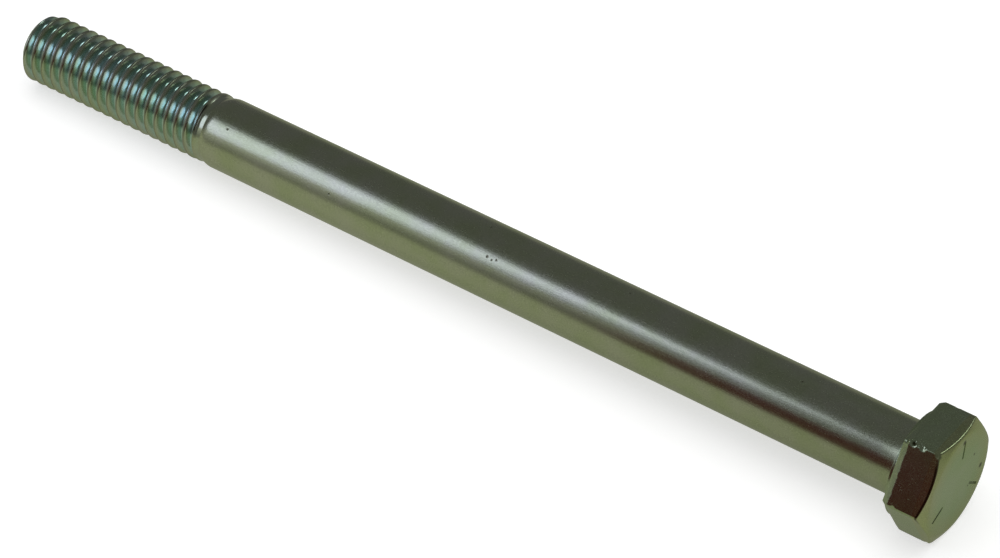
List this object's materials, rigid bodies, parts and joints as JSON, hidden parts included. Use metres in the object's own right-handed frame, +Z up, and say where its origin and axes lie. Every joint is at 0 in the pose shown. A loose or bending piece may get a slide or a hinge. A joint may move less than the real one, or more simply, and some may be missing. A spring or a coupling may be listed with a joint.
{
  "type": "hex bolt",
  "caption": "Long partly threaded hex bolt with washer-faced head, plain shank and rolled right-hand thread, zinc-plated steel.",
  "frame": {"origin": "on the bolt's axis, in the plane of the bearing face under the head", "axes": "+X along the axis towards the top of the head, -X towards the point; +Z up, square to a flat of the hexagon, so that a flat faces straight down"},
  "size_m": [0.1391, 0.0162, 0.0142],
  "materials": {
    "zinc_plated_steel": "bright zinc plate with a faint olive passivate, satin on the shank"
  },
  "bodies": {
    "root": {"hex_bolt": "zinc_plated_steel"}
  },
  "joints": []
}
